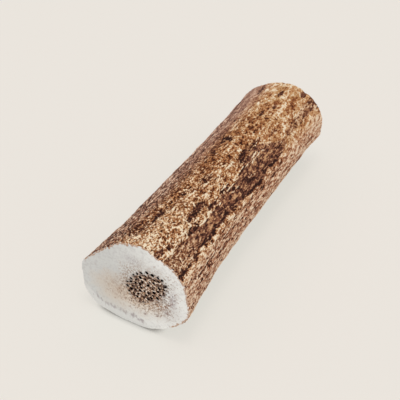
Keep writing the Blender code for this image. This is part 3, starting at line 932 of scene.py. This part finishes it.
def relief_group():
    tree = GroupRecipe("bark relief", RELIEF_SIZES)
    grain = bark_grain(tree, tree.read("rest_place", "FLOAT_VECTOR"), tree.read("strands"))
    calm = tree.math("MULTIPLY_ADD", tree.read("gutter"), -LOST_IN_GUTTER, 1.0)
    lift = tree.times(tree.math("SUBTRACT", grain, 0.5), tree.given["Grain height"])
    lift = tree.times(lift, calm)
    for name, size, sign in RELIEF_MARKS:
        lift = tree.math(sign, lift, tree.times(tree.read(name), tree.given[size]))
    lift = tree.times(lift, tree.read("relief_share"))
    move = tree.add("ShaderNodeVectorMath", {
        0: tree.read("outward", "FLOAT_VECTOR"), "Scale": lift}, operation="SCALE")
    moved = tree.shift(tree.given["Geometry"], move)
    # The highest grains are worn level with the solid's box, and with the floor underneath
    worn = tree.vector("MAXIMUM", tree.add("GeometryNodeInputPosition"), tuple(low))
    worn = tree.vector("MINIMUM", worn, tuple(high))
    return tree.finish(tree.place(moved, worn))


relief = relief_group()

# %% [markdown]
# ## Geometry Nodes: a sawn face with marrow pores
#
# The open end of the tube is turned into a curve and laid flat. Points are scattered over the
# marrow's oval, never closer than the pore spacing. Each gets a small cup, a cone bent into a
# round-bottomed pit, with its own size, squash and turn. The rims of the cups and the edge of the
# tube are then filled together, which leaves a hole at every cup, and all of it is stood up again.

# %% Sawn face tree
PORE_SIZES = ("Pore spacing", "Pore radius min", "Pore radius max", "Pore depth")
PORE_SIDES = 11
PORE_RINGS = 3
PORE_SQUASH = (0.75, 1.0)
SQUASH_SEED = 21
TURN_SEED = 33
OVAL_SIDES = 48
# Points tried in a square of the pore spacing, before those too close to another are dropped
POINTS_TRIED = 25.0
SOLID_SPOT = (-1.57 * MM, -0.93 * MM, 0.0)
SOLID_SPOT_RADIUS = 1.7 * MM
# How ragged a pore's outline is: waves per metre, and their reach
WOBBLE_RATE = 1400.0
WOBBLE_REACH = 0.40 * MM


def sawn_face_group():
    tree = GroupRecipe("sawn face with pores", (
        "Side", "Face X", "Centre across", "Centre up", "Half length", "Half width", "Tilt",
        *PORE_SIZES), ("Seed",))
    given = tree.given
    side, tilt, spacing = given["Side"], given["Tilt"], given["Pore spacing"]
    here = tree.add("GeometryNodeInputPosition")
    x, y, z = tree.node("ShaderNodeSeparateXYZ", {0: here}).outputs
    # The open edge of the tube at this end, laid flat: across to X and up to Y
    open_edge = tree.add("FunctionNodeCompare", {
        2: tree.add("GeometryNodeInputMeshEdgeNeighbors"), 3: 1}, data_type="INT", operation="EQUAL")
    this_end = tree.compare("GREATER_THAN", tree.times(x, side), 0.0)
    chosen = tree.add("FunctionNodeBooleanMath", {0: open_edge, 1: this_end}, operation="AND")
    edge = tree.add("GeometryNodeMeshToCurve", {"Mesh": given["Geometry"], "Selection": chosen})
    edge = tree.place(edge, tree.xyz(tree.times(y, side), z))
    # The marrow's oval and the points scattered over it
    disc = tree.add("GeometryNodeMeshCircle", {"Vertices": OVAL_SIDES, "Radius": 1.0},
                    fill_type="TRIANGLE_FAN")
    centre = tree.xyz(given["Centre across"], given["Centre up"])
    oval = tree.add("GeometryNodeTransform", {
        "Geometry": disc, "Translation": centre, "Rotation": tree.xyz(z=tilt),
        "Scale": tree.xyz(given["Half length"], given["Half width"], 1.0)})
    crowd = tree.math("DIVIDE", POINTS_TRIED, tree.math("POWER", spacing, 2.0))
    points = tree.add("GeometryNodeDistributePointsOnFaces", {
        "Mesh": oval, "Distance Min": spacing, "Density Max": crowd, "Seed": given["Seed"]},
        distribute_method="POISSON")
    # A spot of solid bone in the marrow stays free of pores
    spot = tree.vector("ADD", tree.turn(SOLID_SPOT, tilt), centre)
    from_spot = tree.vector("DISTANCE", here, spot, output="Value")
    in_spot = tree.compare("LESS_THAN", from_spot, SOLID_SPOT_RADIUS)
    points = tree.add("GeometryNodeDeleteGeometry", {"Geometry": points, "Selection": in_spot},
                      domain="POINT")
    # One cup: a cone bent so that its wall drops steeply and its bottom is round
    cone = tree.add("GeometryNodeMeshCone", {
        "Vertices": PORE_SIDES, "Side Segments": PORE_RINGS, "Radius Top": 0.0, "Radius Bottom": 1.0,
        "Depth": 1.0}, fill_type="NONE")
    flat = tree.xyz(x, y)
    out = tree.vector("LENGTH", flat, output="Value")
    drop = tree.math("SUBTRACT", tree.math("POWER", out, 3.0), 1.0)
    cup = tree.place(cone, tree.xyz(x, y, drop))
    cup = tree.store(cup, "pore", tree.times(drop, -1.0))

    def draw(smallest, largest, seed):
        """A random number for each pore."""
        inputs = {2: smallest, 3: largest, 8: seed}
        return tree.add("FunctionNodeRandomValue", inputs, 1, data_type="FLOAT")

    wide = draw(given["Pore radius min"], given["Pore radius max"], given["Seed"])
    narrow = tree.times(wide, draw(*PORE_SQUASH, SQUASH_SEED))
    pores = tree.add("GeometryNodeInstanceOnPoints", {
        "Points": points, "Instance": cup, "Rotation": tree.xyz(z=draw(0.0, 2 * math.pi, TURN_SEED)),
        "Scale": tree.xyz(wide, narrow, given["Pore depth"])})
    pores = tree.add("GeometryNodeRealizeInstances", {"Geometry": pores})
    # Ragged outlines: a noise that depends on the flat place only, so that rims stay level
    wobble = tree.add("ShaderNodeTexNoise", {"Vector": flat, "Scale": WOBBLE_RATE, "Detail": 1.0}, "Color")
    shove = tree.vector("SUBTRACT", wobble, (0.5, 0.5, 0.5))
    pores = tree.shift(pores, tree.vector("MULTIPLY", shove, (WOBBLE_REACH, WOBBLE_REACH, 0.0)))
    rims = tree.add("GeometryNodeMeshToCurve", {"Mesh": pores, "Selection": open_edge})
    plate = tree.add("GeometryNodeFillCurve", {"Curve": tree.join(rims, edge)}, mode="TRIANGLES")
    face = tree.join(plate, pores)
    # Every point's place in the oval, in millimetres, for the colours
    unturned = tree.turn(tree.vector("SUBTRACT", flat, centre), tree.times(tilt, -1.0))
    in_mm = tree.vector("MULTIPLY_ADD", unturned, (1 / MM, 1 / MM, 0.0),
                        tree.xyz(z=tree.times(side, END_MARK)))
    face = tree.store(face, "oval_place", in_mm, "FLOAT_VECTOR")
    face = tree.store(face, "on_face", 1.0)
    # Stood up again: the flat X and Y become across and up, and depth goes into the beam
    deep = tree.math("MULTIPLY_ADD", z, side, given["Face X"])
    return tree.finish(tree.place(face, tree.xyz(deep, tree.times(x, side), y)))


sawn_face = sawn_face_group()

# %% [markdown]
# ## The whole antler
#
# The relief, both sawn faces and the materials come together in one tree. Its named inputs are
# set on the modifier, then the result is kept as a plain mesh.

# %% Antler tree
NUMBERS = {
    "Grain height": 0.42 * MM, "Ridge height": 0.38 * MM, "Crease depth": 0.45 * MM,
    "Hollow depth": 0.55 * MM, "Gutter depth": 0.10 * MM, "Pore spacing": 1.88 * MM,
    "Pore radius min": 0.58 * MM, "Pore radius max": 0.91 * MM, "Pore depth": 1.8 * MM,
}
WELD_DISTANCE = 0.002 * MM


def antler_group():
    tree = GroupRecipe("antler surface", NUMBERS)
    given = tree.given
    tube_inputs = {name: given[name] for name in ("Geometry", *RELIEF_SIZES)}
    barked = tree.add("GeometryNodeGroup", tube_inputs, node_tree=relief)
    faces = []
    for marrow in (BURR_MARROW, TIP_MARROW):
        side = marrow["side"]
        inputs = {
            "Side": side, "Face X": marrow["face_x"], "Centre across": -side * marrow["centre"][0] * MM,
            "Centre up": marrow["axis_height"] + marrow["centre"][1] * MM,
            "Half length": marrow["half_length"] * MM, "Half width": marrow["half_width"] * MM,
            "Tilt": -side * math.radians(marrow["tilt"]), "Seed": marrow["seed"], "Geometry": barked}
        inputs |= {name: given[name] for name in PORE_SIZES}
        faces.append(tree.add("GeometryNodeGroup", inputs, node_tree=sawn_face))
    whole = tree.add("GeometryNodeMergeByDistance", {
        "Geometry": tree.join(barked, *faces), "Distance": WELD_DISTANCE})
    for kind in ("GeometryNodeSetShadeSmooth", "GeometryNodeRealizeInstances"):
        whole = tree.add(kind, {"Geometry": whole})
    whole = tree.add("GeometryNodeSetMaterial", {"Geometry": whole, "Material": bark})
    on_sawn = tree.compare("GREATER_THAN", tree.read("on_face"), 0.5)
    return tree.finish(tree.add("GeometryNodeSetMaterial", {
        "Geometry": whole, "Selection": on_sawn, "Material": sawn}))


surface = antler_group()
modifier = antler.modifiers.new("antler surface", "NODES")
modifier.node_group = surface
identifiers = {item.name: item.identifier for item in surface.interface.items_tree if item.in_out == "INPUT"}
for name, value in NUMBERS.items():
    modifier[identifiers[name]] = value

depsgraph = bpy.context.evaluated_depsgraph_get()
finished_mesh = bpy.data.meshes.new_from_object(antler.evaluated_get(depsgraph), depsgraph=depsgraph)
finished_mesh.name = "antler"
antler.modifiers.remove(modifier)
antler.data = finished_mesh
bpy.data.meshes.remove(tube)

shell = bmesh.new()
shell.from_mesh(finished_mesh)
bmesh.ops.recalc_face_normals(shell, faces=shell.faces)
open_edges = sum(1 for edge in shell.edges if len(edge.link_faces) != 2)
volume = shell.calc_volume(signed=True)
shell.to_mesh(finished_mesh)
shell.free()
finished_mesh.calc_loop_triangles()
print("triangles", len(finished_mesh.loop_triangles), "open edges", open_edges)
print("volume", round(volume / MM ** 3 / 1000, 1), "cubic centimetres")

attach(antler, "root")
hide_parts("antler")

# %% [markdown]
# ## Floor and light
#
# The piece lies on a pale, warm sheet under a wide soft light from above. As on a product
# photographer's light table, most of the sheet's brightness comes through it from below. So the
# shadows stay faint, and the underside of the piece is lit too. Right under and beside the piece
# the sheet's glow is turned down, a painted contact shadow, and near it the glow is painted cooler.

# %% Studio
FLOOR_SIZE = 1.6
SKY_STRENGTH = 0.66
# How far from the piece the painted contact shadow turns the sheet's glow down, and how far its painted
# cooler tint reaches
SHADE_REACH = 4.5 * MM
TINT_REACH = 40.0 * MM
LAMP_PLACE = Vector((-0.15, -0.12, 1.10))
LAMP_TARGET = Vector((0.0, 0.0, 20 * MM))
LAMP_SIDE = 0.35
LAMP_WATTS = 3.4

world = bpy.data.worlds.new("studio")
bpy.context.scene.world = world
world.use_nodes = True
sky = world.node_tree.nodes["Background"]
Recipe(world.node_tree).fill(sky, {0: colour("#ffffff"), 1: SKY_STRENGTH})

sheet, sheet_tree, sheet_shader = new_material("glowing_sheet_painted_shadow")


def openness(reach):
    """1 on the open sheet and less near the piece."""
    return sheet_tree.add("ShaderNodeAmbientOcclusion", {"Distance": reach}, "AO", samples=8)


# Painted contact shadow: the sheet's glow is turned down right under the piece. Near the piece the
# glow is also painted cooler, to offset the warm light that the bark throws on the sheet
sheet_tree.fill(sheet_shader, {
    "Base Color": colour("#76726f"), "Roughness": 0.9,
    "Emission Strength": sheet_tree.remap(openness(SHADE_REACH), 0.20, 0.66, 0.08, 0.785),
    "Emission Color": sheet_tree.mix(openness(TINT_REACH), "#e2e5de", "#eae5dd")})
bpy.ops.mesh.primitive_plane_add(size=FLOOR_SIZE)
floor = bpy.context.object
floor.name = "floor"
floor.data.materials.append(sheet)
floor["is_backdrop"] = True

light = bpy.data.lights.new("overhead", "AREA")
light.shape = "RECTANGLE"
light.size = LAMP_SIDE
light.size_y = LAMP_SIDE
light.energy = LAMP_WATTS
light.color = colour("#fffaf2")[:3]
lamp = add_object("overhead", light)
lamp.location = LAMP_PLACE
lamp.rotation_euler = (LAMP_TARGET - LAMP_PLACE).to_track_quat("-Z", "Y").to_euler()
bpy.context.scene.view_settings.view_transform = "Standard"

# %% [markdown]
# ## The size
#
# The finished piece's box is shown beside the imported part's box. The piece should fill that box and not
# leave it.

# %% Sizes
new_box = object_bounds()


def plain(box):
    if isinstance(box, dict):
        return {str(key): plain(value) for key, value in box.items()}
    if isinstance(box, (list, tuple, Vector)):
        return [plain(value) for value in box]
    return box


{"cad": plain(cad_box), "new": plain(new_box)}
